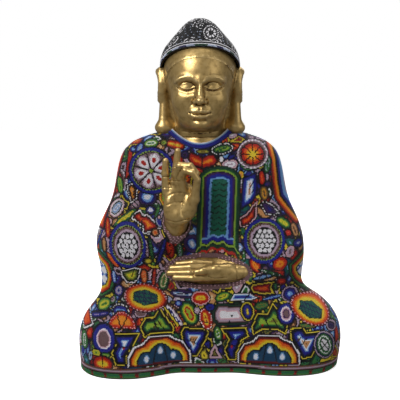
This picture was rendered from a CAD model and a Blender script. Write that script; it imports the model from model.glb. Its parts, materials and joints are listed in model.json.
"""A seated temple figure in gold paint, its robe and hair covered with glass seed beads pressed into wax.

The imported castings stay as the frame. Every field of beads is laid in rows over the skin that the CAD holds
for it, and its pattern is worked out bead by bead from tables of motifs. The tables are in millimetres,
measured from the neck's upright axis: x to the figure's left, y to its back and z up.
"""

import json
import logging
import math
from dataclasses import dataclass, field
from enum import Enum
from typing import Callable, Iterable, Sequence

import bpy
import numpy as np
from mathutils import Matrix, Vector
from mathutils.bvhtree import BVHTree
from mathutils.kdtree import KDTree

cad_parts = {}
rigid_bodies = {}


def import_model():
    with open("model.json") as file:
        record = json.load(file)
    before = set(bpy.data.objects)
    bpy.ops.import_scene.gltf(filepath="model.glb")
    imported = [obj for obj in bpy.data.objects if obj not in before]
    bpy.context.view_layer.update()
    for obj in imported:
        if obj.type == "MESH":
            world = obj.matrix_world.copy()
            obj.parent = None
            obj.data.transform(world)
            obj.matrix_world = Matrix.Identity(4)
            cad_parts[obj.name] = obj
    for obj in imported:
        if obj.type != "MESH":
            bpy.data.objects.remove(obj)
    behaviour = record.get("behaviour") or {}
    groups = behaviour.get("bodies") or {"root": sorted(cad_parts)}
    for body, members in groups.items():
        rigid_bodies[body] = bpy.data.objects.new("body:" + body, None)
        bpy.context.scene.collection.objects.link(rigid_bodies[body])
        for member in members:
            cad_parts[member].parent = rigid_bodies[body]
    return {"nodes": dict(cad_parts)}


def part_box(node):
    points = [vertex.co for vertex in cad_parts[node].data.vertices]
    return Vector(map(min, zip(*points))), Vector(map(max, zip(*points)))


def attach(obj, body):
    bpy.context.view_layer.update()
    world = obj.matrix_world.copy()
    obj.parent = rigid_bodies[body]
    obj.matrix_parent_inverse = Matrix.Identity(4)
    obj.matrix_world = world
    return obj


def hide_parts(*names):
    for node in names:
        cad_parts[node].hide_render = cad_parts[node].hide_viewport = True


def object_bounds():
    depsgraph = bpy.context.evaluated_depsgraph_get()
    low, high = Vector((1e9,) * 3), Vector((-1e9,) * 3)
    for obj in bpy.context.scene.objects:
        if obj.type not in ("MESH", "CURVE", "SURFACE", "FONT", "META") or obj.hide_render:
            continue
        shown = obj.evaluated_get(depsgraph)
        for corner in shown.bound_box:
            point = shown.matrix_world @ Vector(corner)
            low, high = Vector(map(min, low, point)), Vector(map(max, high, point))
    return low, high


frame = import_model()
CAD_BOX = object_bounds()
LOG = logging.getLogger("figure")

MM = 0.001
NECK_MIDDLE = np.array([0.0, 5.0])     # the middle of the neck's opening, from the neck's axis
NECK_HOLE_R = 50.0
NECK_TOP = 480.0                       # looks down for the neckline start at this height
NECK_LOOK = 200.0                      # and go this far
ROW_SHARE = 0.866                      # rows of beads lie this share of a bead's spacing apart
PAINT_SHARE = 0.87                     # the same share, as the rows of a motif are counted
FRONT_BACK = 10.0                      # the motifs in front end at this depth, and those behind begin

Codes = np.ndarray
Points = np.ndarray


def neck_axis() -> np.ndarray:
    """Where the neck's upright axis stands in the row frame, in millimetres."""
    low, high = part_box("neckline_beads")
    middle = (low + high) / 2 / MM
    return np.array([middle.x - NECK_MIDDLE[0], middle.y - NECK_MIDDLE[1], 0.0])


AXIS = neck_axis()


def placed(points: Points) -> Points:
    """Points measured in millimetres from the neck's axis, as metres in the row frame."""
    return (points + AXIS) * MM


def linear(rgb: Sequence[int]) -> tuple[float, float, float, float]:
    """A colour given as three numbers up to 255, as the shader's linear colour with an alpha of 1."""
    parts = [c / 255 for c in rgb]
    return tuple(c / 12.92 if c <= 0.04045 else ((c + 0.055) / 1.055) ** 2.4 for c in parts) + (1.0,)


# ---------------------------------------------------------------- finishes
class Glass(Enum):
    """The colours of seed bead in the maker's jars: the letter used in the tables, and the colour."""

    BLACK = ("k", (9, 9, 13))
    NAVY = ("n", (20, 20, 78))
    ROYAL = ("b", (30, 36, 150))
    SKY = ("l", (118, 168, 222))
    WHITE = ("w", (236, 234, 238))
    SILVER = ("s", (166, 176, 198))
    MAUVE = ("p", (122, 92, 94))
    LILAC = ("m", (188, 164, 184))
    PURPLE = ("v", (66, 34, 92))
    RED = ("r", (186, 30, 18))
    MAROON = ("d", (104, 20, 22))
    ORANGE = ("o", (222, 88, 16))
    AMBER = ("a", (232, 150, 24))
    YELLOW = ("y", (226, 204, 46))
    LIME = ("i", (148, 182, 52))
    GREEN = ("g", (56, 124, 58))
    FOREST = ("e", (14, 62, 40))
    TEAL = ("c", (24, 104, 82))
    PETROL = ("t", (22, 70, 104))
    BROWN = ("u", (98, 60, 40))
    PEACH = ("h", (208, 152, 96))
    CREAM = ("f", (224, 206, 160))
    OLIVE = ("x", (124, 112, 44))
    PINK = ("q", (222, 176, 184))

    @property
    def letter(self) -> str:
        """The letter that stands for the colour in a row of beads."""
        return self.value[0]


JARS = tuple(Glass)
JAR_OF = {glass.letter: k for k, glass in enumerate(JARS)}


def jar(letter: str) -> int:
    """The number of the jar that a letter stands for."""
    return JAR_OF[letter]


def jars(letters: str) -> np.ndarray:
    """The numbers of the jars for a row of letters."""
    return np.array([JAR_OF[c] for c in letters], np.int32)


class Finish:
    """A material made of shader nodes."""

    name = "finish"

    def build(self) -> bpy.types.Material:
        """Makes the material, or returns it if it has been made.

        Returns:
            The material with its nodes in place.
        """
        made = bpy.data.materials.get(self.name)
        if made is not None:
            return made
        material = bpy.data.materials.new(self.name)
        material.use_nodes = True
        tree = material.node_tree
        self.wire(tree, tree.nodes["Principled BSDF"])
        return material

    def wire(self, tree: bpy.types.NodeTree, shader: bpy.types.ShaderNode) -> None:
        """Sets the shader up; each finish has its own way."""
        raise NotImplementedError


@dataclass(frozen=True)
class BeadGlass(Finish):
    """Opaque glass, dyed through, with a fire-polished skin."""

    glass: Glass

    @property
    def name(self) -> str:
        """The material's name."""
        return "glass_" + self.glass.name.lower()

    def wire(self, tree: bpy.types.NodeTree, shader: bpy.types.ShaderNode) -> None:
        """Sets plain values, so that tens of thousands of beads share them."""
        shader.inputs["Base Color"].default_value = linear(self.glass.value[1])
        shader.inputs["Roughness"].default_value = 0.34
        shader.inputs["Coat Weight"].default_value = 0.35
        shader.inputs["Coat Roughness"].default_value = 0.12


def noise_bump(tree: bpy.types.NodeTree, shader: bpy.types.ShaderNode, scale: float, strength: float,
               distance: float, detail: float = 4.0) -> bpy.types.ShaderNode:
    """Adds a noise in Object coordinates and drives the bump with it.

    Args:
        tree: the material's nodes.
        shader: the shader whose normal is set.
        scale: how fine the noise is, per metre.
        strength: how strong the bump is.
        distance: its depth in metres.
        detail: how many finer layers the noise has.

    Returns:
        The noise node, for its value to be used elsewhere.
    """
    place = tree.nodes.new("ShaderNodeTexCoord")
    noise = tree.nodes.new("ShaderNodeTexNoise")
    noise.inputs["Scale"].default_value = scale
    noise.inputs["Detail"].default_value = detail
    bump = tree.nodes.new("ShaderNodeBump")
    bump.inputs["Strength"].default_value = strength
    bump.inputs["Distance"].default_value = distance
    tree.links.new(place.outputs["Object"], noise.inputs["Vector"])
    tree.links.new(noise.outputs["Fac"], bump.inputs["Height"])
    tree.links.new(bump.outputs["Normal"], shader.inputs["Normal"])
    return noise


def ramp(tree: bpy.types.NodeTree, stops: Sequence[tuple[float, Sequence[int]]]) -> bpy.types.ShaderNode:
    """A colour ramp with the given places and colours."""
    node = tree.nodes.new("ShaderNodeValToRGB")
    line = node.color_ramp
    while len(line.elements) < len(stops):
        line.elements.new(0.5)
    for element, (place, rgb) in zip(line.elements, stops):
        element.position = place
        element.color = linear(rgb)
    return node


@dataclass(frozen=True)
class GoldPaint(Finish):
    """Satin gold paint over a casting, darker where it has pooled in the creases."""

    name: str = "satin_gold"
    deep: tuple[int, int, int] = (84, 58, 26)
    body: tuple[int, int, int] = (186, 156, 98)
    worn: tuple[int, int, int] = (214, 186, 130)

    def wire(self, tree: bpy.types.NodeTree, shader: bpy.types.ShaderNode) -> None:
        """Mixes crease and ridge colours by how sharply the surface bends, broken up by a noise."""
        noise = noise_bump(tree, shader, 140.0, 0.12, 0.0006)
        shape = tree.nodes.new("ShaderNodeNewGeometry")
        blend = tree.nodes.new("ShaderNodeMath")
        blend.operation = "MULTIPLY_ADD"
        blend.inputs[1].default_value = 0.10
        tree.links.new(noise.outputs["Fac"], blend.inputs[0])
        tree.links.new(shape.outputs["Pointiness"], blend.inputs[2])
        colours = ramp(tree, ((0.50, self.deep), (0.55, self.body), (0.62, self.worn)))
        tree.links.new(blend.outputs[0], colours.inputs["Fac"])
        tree.links.new(colours.outputs["Color"], shader.inputs["Base Color"])
        shader.inputs["Metallic"].default_value = 0.74
        shader.inputs["Roughness"].default_value = 0.35


@dataclass(frozen=True)
class BedWax(Finish):
    """Dark beeswax that the beads are pressed into."""

    name: str = "bed_wax"

    def wire(self, tree: bpy.types.NodeTree, shader: bpy.types.ShaderNode) -> None:
        """A mottled dark brown with a soft shine."""
        noise = noise_bump(tree, shader, 420.0, 0.3, 0.0004)
        colours = ramp(tree, ((0.3, (14, 12, 12)), (0.7, (44, 34, 28))))
        tree.links.new(noise.outputs["Fac"], colours.inputs["Fac"])
        tree.links.new(colours.outputs["Color"], shader.inputs["Base Color"])
        shader.inputs["Roughness"].default_value = 0.45


@dataclass(frozen=True)
class WoolFelt(Finish):
    """Green felt under the base."""

    name: str = "wool_felt"

    def wire(self, tree: bpy.types.NodeTree, shader: bpy.types.ShaderNode) -> None:
        """A fine matted noise in two greens."""
        noise = noise_bump(tree, shader, 2400.0, 0.9, 0.0003, 8.0)
        colours = ramp(tree, ((0.35, (18, 52, 34)), (0.65, (38, 84, 56))))
        tree.links.new(noise.outputs["Fac"], colours.inputs["Fac"])
        tree.links.new(colours.outputs["Color"], shader.inputs["Base Color"])
        shader.inputs["Roughness"].default_value = 0.95
        shader.inputs["Sheen Weight"].default_value = 0.4


@dataclass(frozen=True)
class WoodGrain(Finish):
    """Birch plywood or dowel, with its grain along X."""

    name: str = "birch"
    pale: tuple[int, int, int] = (206, 178, 134)
    dark: tuple[int, int, int] = (168, 132, 88)

    def wire(self, tree: bpy.types.NodeTree, shader: bpy.types.ShaderNode) -> None:
        """A distorted wave makes the grain, with a fine noise for the bump."""
        noise_bump(tree, shader, 220.0, 0.2, 0.0002, 6.0)
        wave = tree.nodes.new("ShaderNodeTexWave")
        wave.bands_direction = "Y"
        wave.inputs["Scale"].default_value = 38.0
        wave.inputs["Distortion"].default_value = 6.0
        place = tree.nodes.new("ShaderNodeTexCoord")
        colours = ramp(tree, ((0.2, self.pale), (0.9, self.dark)))
        tree.links.new(place.outputs["Object"], wave.inputs["Vector"])
        tree.links.new(wave.outputs["Fac"], colours.inputs["Fac"])
        tree.links.new(colours.outputs["Color"], shader.inputs["Base Color"])
        shader.inputs["Roughness"].default_value = 0.6


@dataclass(frozen=True)
class ZincSteel(Finish):
    """Zinc-plated screws."""

    name: str = "zinc_steel"

    def wire(self, tree: bpy.types.NodeTree, shader: bpy.types.ShaderNode) -> None:
        """Bright metal with a spangled roughness."""
        noise = noise_bump(tree, shader, 900.0, 0.15, 0.0001)
        colours = ramp(tree, ((0.3, (150, 152, 156)), (0.7, (188, 190, 194))))
        tree.links.new(noise.outputs["Fac"], colours.inputs["Fac"])
        tree.links.new(colours.outputs["Color"], shader.inputs["Base Color"])
        shader.inputs["Metallic"].default_value = 1.0
        shader.inputs["Roughness"].default_value = 0.32


def dress(obj: bpy.types.Object, *finishes: Finish) -> None:
    """Replaces an object's material slots with the given finishes."""
    obj.data.materials.clear()
    for finish in finishes:
        obj.data.materials.append(finish.build())


# ---------------------------------------------------------------- modelling by hand
def let_go() -> None:
    """Leaves edit mode and deselects everything."""
    if bpy.context.object is not None and bpy.context.object.mode != "OBJECT":
        bpy.ops.object.mode_set(mode="OBJECT")
    for obj in bpy.context.view_layer.objects:
        obj.select_set(False)


def take(obj: bpy.types.Object) -> None:
    """Selects one object alone and makes it the active one."""
    let_go()
    bpy.context.view_layer.objects.active = obj
    obj.select_set(True)


def apply_all(obj: bpy.types.Object) -> None:
    """Applies an object's modifiers in order."""
    take(obj)
    for modifier in list(obj.modifiers):
        bpy.ops.object.modifier_apply(modifier=modifier.name)


def vertices_of(obj: bpy.types.Object) -> Points:
    """The places of an object's vertices, as an array of rows."""
    places = np.empty(len(obj.data.vertices) * 3, np.float32)
    obj.data.vertices.foreach_get("co", places)
    return places.reshape(-1, 3).astype(float)


def move_vertices(obj: bpy.types.Object, places: Points) -> None:
    """Puts an object's vertices at new places."""
    obj.data.vertices.foreach_set("co", places.astype(np.float32).ravel())
    obj.data.update()


def rides(obj: bpy.types.Object, slot: str, *nodes: str) -> bpy.types.Object:
    """Fixes a finished piece to the figure's only body.

    Args:
        obj: the piece.
        slot: the record's material slot that it takes its finish from.
        nodes: the CAD nodes that it stands for.

    Returns:
        The piece.
    """
    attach(obj, "root")
    if nodes:
        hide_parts(*nodes)
    LOG.info("%s: %d faces", obj.name, len(obj.data.polygons))
    return obj


# ---------------------------------------------------------------- skins and fields of beads
@dataclass
class Skin:
    """The outside of several CAD nodes, which remembers the node that each face belongs to."""

    nodes: tuple[str, ...]
    tree: BVHTree = field(init=False)
    owner: np.ndarray = field(init=False)

    def __post_init__(self) -> None:
        """Gathers the nodes' triangles into one search tree."""
        places, faces, owners, used = [], [], [], 0
        for k, name in enumerate(self.nodes):
            mesh = frame["nodes"][name].data
            mesh.calc_loop_triangles()
            corners = np.empty(len(mesh.loop_triangles) * 3, np.int32)
            mesh.loop_triangles.foreach_get("vertices", corners)
            spots = vertices_of(frame["nodes"][name]) / MM - AXIS
            places.append(spots)
            faces.append(corners.reshape(-1, 3) + used)
            owners.append(np.full(len(mesh.loop_triangles), k, np.int32))
            used += len(spots)
        self.tree = BVHTree.FromPolygons(np.concatenate(places).tolist(), np.concatenate(faces).tolist())
        self.owner = np.concatenate(owners)

    def reach(self, start: Sequence[float], way: Sequence[float], far: float) -> tuple[float, int]:
        """Looks along a way for the skin's outside.

        Args:
            start: where the look begins, outside the figure.
            way: the direction of the look.
            far: how far it goes.

        Returns:
            How far away the outside is and the node's number, or (nan, -1) where it misses.
        """
        spot, normal, face, distance = self.tree.ray_cast(start, way, far)
        if spot is None or normal.dot(Vector(way)) > 0:
            return math.nan, -1
        return distance, int(self.owner[face])


@dataclass
class Beads:
    """Beads laid on a skin: where each stands, which way it faces, and where it is in its row."""

    place: Points
    normal: Points
    owner: np.ndarray
    row: np.ndarray
    along: np.ndarray

    def kept(self, mask: np.ndarray) -> "Beads":
        """The beads that a mask picks out."""
        return Beads(self.place[mask], self.normal[mask], self.owner[mask], self.row[mask], self.along[mask])


@dataclass
class Field:
    """A skin sampled on a net of rays, over which rows of beads are laid from the bottom edge upward."""

    skin: Skin
    levels: int
    ways: int = 512
    far: float = 330.0
    pitch: float = 2.1

    def rays(self, turn: np.ndarray, level: float) -> tuple[Points, Points]:
        """The middle and direction of the rays at one level, for every turn in radians."""
        raise NotImplementedError

    def sample(self) -> None:
        """Measures the skin along every ray and fills the gaps along each upright line."""
        turns = np.arange(self.ways) * 2 * math.pi / self.ways
        reach = np.full((self.levels, self.ways), math.nan)
        self.owner = np.full((self.levels, self.ways), -1, np.int32)
        middle = np.zeros((self.levels, self.ways, 3))
        way = np.zeros_like(middle)
        for level in range(self.levels):
            middle[level], way[level] = self.rays(turns, level)
            starts = middle[level] + self.far * way[level]
            for k in range(self.ways):
                depth, owner = self.skin.reach(starts[k], -way[level, k], self.far)
                reach[level, k] = self.far - depth
                self.owner[level, k] = owner
        self.valid = ~np.isnan(reach)
        self.top = np.zeros(self.ways)
        self.low = np.zeros(self.ways)
        heights = np.arange(self.levels)
        for k in range(self.ways):
            good = np.flatnonzero(self.valid[:, k])
            self.low[k], self.top[k] = good[0], good[-1]
            reach[:, k] = np.interp(heights, good, reach[good, k])
            over = heights > good[-1]
            reach[over, k] = np.maximum(reach[good[-1], k] - 2.5 * (heights[over] - good[-1]), 4.0)
        self.net = middle + reach[:, :, None] * way
        self.rise = np.gradient(self.net, axis=0)
        around = np.roll(self.net, -1, 1) - np.roll(self.net, 1, 1)
        facing = np.cross(around, self.rise)
        self.facing = facing / np.linalg.norm(facing, axis=2, keepdims=True)

    def at(self, grid: np.ndarray, level: np.ndarray, turn: np.ndarray) -> np.ndarray:
        """Reads a net between its knots.

        Args:
            grid: the net to read.
            level: level numbers with a fraction.
            turn: turn numbers with a fraction.

        Returns:
            The value at each place.
        """
        level = np.clip(level, 0, self.levels - 1.001)
        a = np.floor(level).astype(int)
        b = np.floor(turn).astype(int)
        fa, fb = (level - a)[:, None], (turn - b)[:, None]
        c, d = b % self.ways, (b + 1) % self.ways
        return ((grid[a, c] * (1 - fa) + grid[a + 1, c] * fa) * (1 - fb)
                + (grid[a, d] * (1 - fa) + grid[a + 1, d] * fa) * fb)

    def lay(self, start: np.ndarray) -> Beads:
        """Lays row after row, each one bead's spacing from the last, until all are past the top.

        Args:
            start: the level number of the first row at each turn.

        Returns:
            All the beads that stand on the skin.
        """
        self.turns = np.arange(self.ways, dtype=float)
        level = start.copy()
        found = []
        row = 0
        while (level < self.top + 1).any() and row < 600:
            line = self.at(self.net, level, self.turns)
            steps = np.linalg.norm(np.roll(line, -1, 0) - line, axis=1)
            length = np.concatenate([[0.0], np.cumsum(steps)])
            count = max(3, round(length[-1] / self.pitch))
            if length[-1] < 2.5 * self.pitch:
                break
            spots = (np.arange(count) + 0.5 * (row % 2)) * length[-1] / count
            turn = np.interp(spots, length, np.arange(self.ways + 1))
            height = np.interp(turn, np.arange(self.ways + 1), np.append(level, level[0]))
            near = (np.clip(np.round(height), 0, self.levels - 1).astype(int),
                    np.round(turn).astype(int) % self.ways)
            ceiling = np.interp(turn, np.arange(self.ways + 1), np.append(self.top, self.top[0]))
            good = self.valid[near] & (height <= ceiling + 0.5)
            place, facing = self.at(self.net, height, turn), self.at(self.facing, height, turn)
            found.append((place[good], facing[good], self.owner[near][good], np.full(good.sum(), row),
                          spots[good]))
            along = np.roll(line, -1, 0) - np.roll(line, 1, 0)
            along /= np.maximum(np.linalg.norm(along, axis=1, keepdims=True), 1e-9)
            rise = self.at(self.rise, level, self.turns)
            across = np.linalg.norm(rise - (rise * along).sum(1, keepdims=True) * along, axis=1)
            step = self.pitch * ROW_SHARE / np.maximum(across, 0.2)
            level = level + smooth_ring(step, 7)
            row += 1
        columns = [np.concatenate(part) for part in zip(*found)]
        columns[1] /= np.linalg.norm(columns[1], axis=1, keepdims=True)
        return Beads(*columns)


def smooth_ring(values: np.ndarray, width: int) -> np.ndarray:
    """A running mean round a closed ring."""
    total = np.zeros_like(values)
    for k in range(-(width // 2), width // 2 + 1):
        total += np.roll(values, k)
    return total / width


@dataclass
class RobeField(Field):
    """The robe from the hem to the neck, looked at from every side."""

    foot: float = 3.2

    def rays(self, turn: np.ndarray, level: float) -> tuple[Points, Points]:
        """Level rays toward the neck's middle line."""
        middle = np.tile([NECK_MIDDLE[0], NECK_MIDDLE[1], self.foot + level], (len(turn), 1))
        way = np.stack([np.sin(turn), -np.cos(turn), np.zeros_like(turn)], 1)
        return middle, way


@dataclass
class HairField(Field):
    """The hair from the brim to the crown, looked at from a middle point in the brim's plane."""

    middle: tuple[float, float, float] = (0.0, 10.0, 506.1)
    slope: float = -32.0

    def rays(self, turn: np.ndarray, level: float) -> tuple[Points, Points]:
        """Rays that rise from the brim's plane to its pole."""
        rise = math.radians(-6.0 + 96.0 * level / (self.levels - 1))
        tilt = math.radians(self.slope)
        back = np.array([0.0, math.cos(tilt), math.sin(tilt)])
        pole = np.array([0.0, -math.sin(tilt), math.cos(tilt)])
        side = np.array([1.0, 0.0, 0.0])
        flat = np.sin(turn)[:, None] * side - np.cos(turn)[:, None] * back
        way = math.cos(rise) * flat + math.sin(rise) * pole
        return np.tile(self.middle, (len(turn), 1)), way


# ---------------------------------------------------------------- motifs
class Face(Enum):
    """The side of the figure that a motif is drawn on, with its right-hand way and the way it faces."""

    FRONT = ((1.0, 0.0), (0.0, -1.0))
    BACK = ((-1.0, 0.0), (0.0, 1.0))
    LEFT = ((0.0, 1.0), (1.0, 0.0))
    RIGHT = ((0.0, -1.0), (-1.0, 0.0))


def wave(values: np.ndarray, period: float) -> np.ndarray:
    """A zigzag between 0 and 1 with a given period."""
    return np.abs((values / period) % 1.0 * 2 - 1)


def oval_depth(u: np.ndarray, v: np.ndarray, half_u: float, half_v: float) -> np.ndarray:
    """How far inside an oval each point lies, roughly in millimetres."""
    near = np.hypot(u / half_u, v / half_v)
    slope = np.hypot(u / half_u ** 2, v / half_v ** 2) / np.maximum(near, 1e-6)
    return (1 - near) / np.maximum(slope, 1 / max(half_u, half_v))


def shape_depth(u: np.ndarray, v: np.ndarray, corners: Sequence[tuple[float, float]]) -> np.ndarray:
    """How far inside a closed outline of straight sides each point lies, in millimetres."""
    ends = np.array(corners, float)
    best = np.full(len(u), 1e9)
    inside = np.zeros(len(u), bool)
    for (ax, ay), (bx, by) in zip(ends, np.roll(ends, -1, 0)):
        ex, ey = bx - ax, by - ay
        t = np.clip(((u - ax) * ex + (v - ay) * ey) / (ex * ex + ey * ey), 0, 1)
        best = np.minimum(best, np.hypot(u - ax - t * ex, v - ay - t * ey))
        if ay != by:
            crosses = ((v >= ay) != (v >= by)) & (u < ax + (v - ay) * ex / ey)
            inside ^= crosses
    return np.where(inside, best, -best)


@dataclass(frozen=True)
class Motif:
    """One figure in the beadwork. Its rows are letters of Glass from its edge inward, one bead each, and the
    last letter fills the middle. An oval has a middle, two half sizes and a tilt; a shape has corners."""

    rows: str
    oval: tuple[float, ...] = ()
    shape: tuple[tuple[float, float], ...] = ()
    face: Face = Face.FRONT
    dots: tuple[tuple[float, float, float, str], ...] = ()
    lines: tuple[tuple[float, float, float, float, float, str], ...] = ()
    dashes: str = ""

    def box(self) -> tuple[float, float, float, float]:
        """The least and most of both measures, with room to spare."""
        if self.oval:
            u, v, a, b = self.oval[:4]
            far = max(a, b)
            return u - far, u + far, v - far, v + far
        us, vs = zip(*self.shape)
        return min(us), max(us), min(vs), max(vs)

    def depth(self, u: np.ndarray, v: np.ndarray) -> np.ndarray:
        """How far inside the motif each point lies."""
        if not self.oval:
            return shape_depth(u, v, self.shape)
        cu, cv, a, b, tilt = self.oval
        c, s = math.cos(math.radians(tilt)), math.sin(math.radians(tilt))
        return oval_depth((u - cu) * c + (v - cv) * s, (v - cv) * c - (u - cu) * s, a, b)

    def paint(self, u: np.ndarray, v: np.ndarray, codes: Codes, pitch: float) -> None:
        """Writes the motif's jar numbers over the beads it covers.

        Args:
            u: the beads' places to the right on the motif's side of the figure.
            v: their heights.
            codes: the jar numbers, changed in place.
            pitch: the width of a row of beads.
        """
        least_u, most_u, least_v, most_v = self.box()
        near = np.flatnonzero((u > least_u) & (u < most_u) & (v > least_v) & (v < most_v))
        if not len(near):
            return
        depth = self.depth(u[near], v[near])
        near, depth = near[depth > 0], depth[depth > 0]
        row = np.minimum((depth / (pitch * PAINT_SHARE)).astype(int), len(self.rows) - 1)
        codes[near] = jars(self.rows)[row]
        if self.dashes:
            edge = near[row == 1]
            turn = (u[edge] + 1.7 * v[edge]) / 6.0
            codes[edge[turn % 1.0 < 0.4]] = jar(self.dashes)
        for du, dv, radius, letter in self.dots:
            codes[near[np.hypot(u[near] - du, v[near] - dv) < radius]] = jar(letter)
        for au, av, bu, bv, width, letter in self.lines:
            ex, ey = bu - au, bv - av
            t = np.clip(((u[near] - au) * ex + (v[near] - av) * ey) / (ex * ex + ey * ey), 0, 1)
            gap = np.hypot(u[near] - au - t * ex, v[near] - av - t * ey)
            codes[near[gap < width / 2]] = jar(letter)


@dataclass(frozen=True)
class Special:
    """A large motif with a pattern of its own, written by a function of its local measures."""

    middle: tuple[float, float]
    half: tuple[float, float]
    pattern: Callable[[np.ndarray, np.ndarray], Codes]
    tilt: float = 0.0
    face: Face = Face.FRONT

    def paint(self, u: np.ndarray, v: np.ndarray, codes: Codes, pitch: float) -> None:
        """Writes the pattern where it has a jar number of 0 or more."""
        c, s = math.cos(math.radians(self.tilt)), math.sin(math.radians(self.tilt))
        du, dv = u - self.middle[0], v - self.middle[1]
        a, b = (du * c + dv * s) / self.half[0], (dv * c - du * s) / self.half[1]
        near = np.flatnonzero((np.abs(a) < 1.4) & (np.abs(b) < 1.4))
        if not len(near):
            return
        made = self.pattern(a[near], b[near])
        codes[near[made >= 0]] = made[made >= 0]


def banded(value: np.ndarray, stops: Sequence[tuple[float, str]]) -> Codes:
    """Picks a jar by a value: the first stop that it is below, or -1 past the last."""
    made = np.full(len(value), -1, np.int32)
    for stop, letter in reversed(stops):
        made[value < stop] = jar(letter)
    return made


def medallion(a: np.ndarray, b: np.ndarray) -> Codes:
    """A thick blue ring, thin yellow and mauve rings, and a net of nineteen white cells."""
    near, turn = np.hypot(a, b), np.arctan2(b, a)
    made = banded(near, ((0.60, "k"), (0.70, "m"), (0.78, "p"), (0.81, "k"), (0.86, "i"), (1.0, "b"),
                         (1.03, "k")))
    made[(near > 0.70) & (near < 0.80) & ((turn * 4.5) % 1.0 < 0.4)] = jar("u")
    made[(near > 0.81) & (near < 0.86) & ((turn * 7.0) % 1.0 < 0.3)] = jar("k")
    cell = 0.228
    best = np.full(len(a), 9.0)
    for q in range(-2, 3):
        for r in range(-2, 3):
            if abs(q + r) <= 2:
                best = np.minimum(best, np.hypot(a - cell * (q + r / 2), b - cell * r * 0.9))
    made[best < 0.099] = jar("w")
    return made


def wheel_flower(a: np.ndarray, b: np.ndarray) -> Codes:
    """Six white petals with red hearts inside a blue ring and a dashed green one."""
    near, turn = np.hypot(a, b), np.arctan2(b, a) + 0.26
    made = banded(near, ((0.78, "p"), (0.82, "k"), (0.87, "i"), (0.985, "b"), (1.04, "k")))
    made[(near > 0.82) & (near < 0.87) & ((turn * 6.0) % 1.0 < 0.35)] = jar("k")
    part = (turn / (math.pi / 3)) % 1.0 - 0.5
    along, across = near * np.cos(part * math.pi / 3), near * np.sin(part * math.pi / 3)
    petal = np.hypot((along - 0.45) / 0.34, across / (0.10 + 0.30 * np.clip(along, 0, 0.62)))
    inner = near < 0.80
    made[inner & (petal < 1.0)] = jar("m")
    made[inner & (petal < 0.80)] = jar("w")
    heart = np.hypot((along - 0.47) / 0.13, across / 0.085)
    made[inner & (heart < 1.0)] = jar("r")
    made[(near < 0.77) & (np.abs(np.abs(part) - 0.5) * near < 0.030)] = jar("k")
    made[near < 0.08] = jar("i")
    return made


def sun_flower(a: np.ndarray, b: np.ndarray) -> Codes:
    """Eight petals from red to yellow in a dotted mauve ring."""
    near, turn = np.hypot(a, b), np.arctan2(b, a)
    made = banded(near, ((0.22, "y"), (0.40, "a"), (0.54, "o"), (0.68, "r"), (0.76, "k"), (0.86, "p"),
                         (0.97, "m"), (1.02, "k")))
    made[(near > 0.86) & (near < 0.97) & ((turn * 4.0) % 1.0 < 0.4)] = jar("w")
    part = np.abs((turn / (math.pi / 4)) % 1.0 - 0.5)
    made[(near < 0.70) & (near > 0.16) & ((0.5 - part) * near < 0.045)] = jar("k")
    made[(near < 0.34) & (part * near < 0.03)] = jar("y")
    return made


def lap_oval(a: np.ndarray, b: np.ndarray) -> Codes:
    """A red edge with white dots, orange and yellow rings, and a dotted teal middle with six sides."""
    near, turn = np.hypot(a, b), np.arctan2(b, a)
    made = banded(near, ((0.69, "y"), (0.77, "a"), (0.86, "o"), (0.92, "r"), (1.0, "d"), (1.05, "k")))
    made[(near > 0.91) & (near < 0.98) & ((turn * 5.0) % 1.0 < 0.4)] = jar("q")
    six = np.maximum(np.abs(a) * 1.02, np.abs(a) * 0.5 + np.abs(b) * 1.02)
    made[six < 0.58] = jar("k")
    made[six < 0.53] = jar("c")
    net = (wave(a + 0.5 * b, 0.17) > 0.68) | (wave(b, 0.27) > 0.72)
    made[net & (six < 0.50)] = jar("n")
    return made


def knee_fan(a: np.ndarray, b: np.ndarray) -> Codes:
    """Scalloped bands from maroon to yellow round three petrol petals, in a stepped white outline."""
    u, v = a * 54, b * 58 + 38
    outline = ((-54, 19), (-54, 38), (-44, 56), (-30, 61), (-19, 72), (15, 72), (24, 66), (37, 61), (50, 42),
               (52, 19))
    edge = shape_depth(u, v, outline)
    heart = np.maximum(oval_depth(u, v - 34, 20, 25), np.maximum(oval_depth(u + 23, v - 28, 16, 19),
                                                                 oval_depth(u - 21, v - 28, 16, 19)))
    made = banded(-heart, ((-2.2, "t"), (0.0, "k"), (3.8, "y"), (7.0, "a"), (10.5, "o"), (14.5, "r"),
                           (40, "d")))
    for du, dv in ((-23, 33), (0, 46), (21, 35)):
        drop = np.hypot((u - du) / 3.4, (v - dv) / (5.0 + 0.12 * (v - dv)))
        made[drop < 1.0] = jar("w")
        made[(drop > 1.0) & (drop < 1.35) & (heart > 2.2)] = jar("l")
    for du, lean in ((-11, 0.2), (11, -0.2)):
        made[(np.abs(u - du - lean * (v - 30)) < 1.2) & (heart > 0)] = jar("k")
    made[edge < 6.6] = np.where(made[edge < 6.6] == jar("y"), jar("o"), jar("d"))
    made[edge < 4.4] = jar("k")
    made[edge < 2.4] = jar("w")
    made[edge < -2.1] = -1
    made[(edge >= -2.1) & (edge < 0)] = jar("k")
    made[v < 20.5] = -1
    return made


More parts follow.
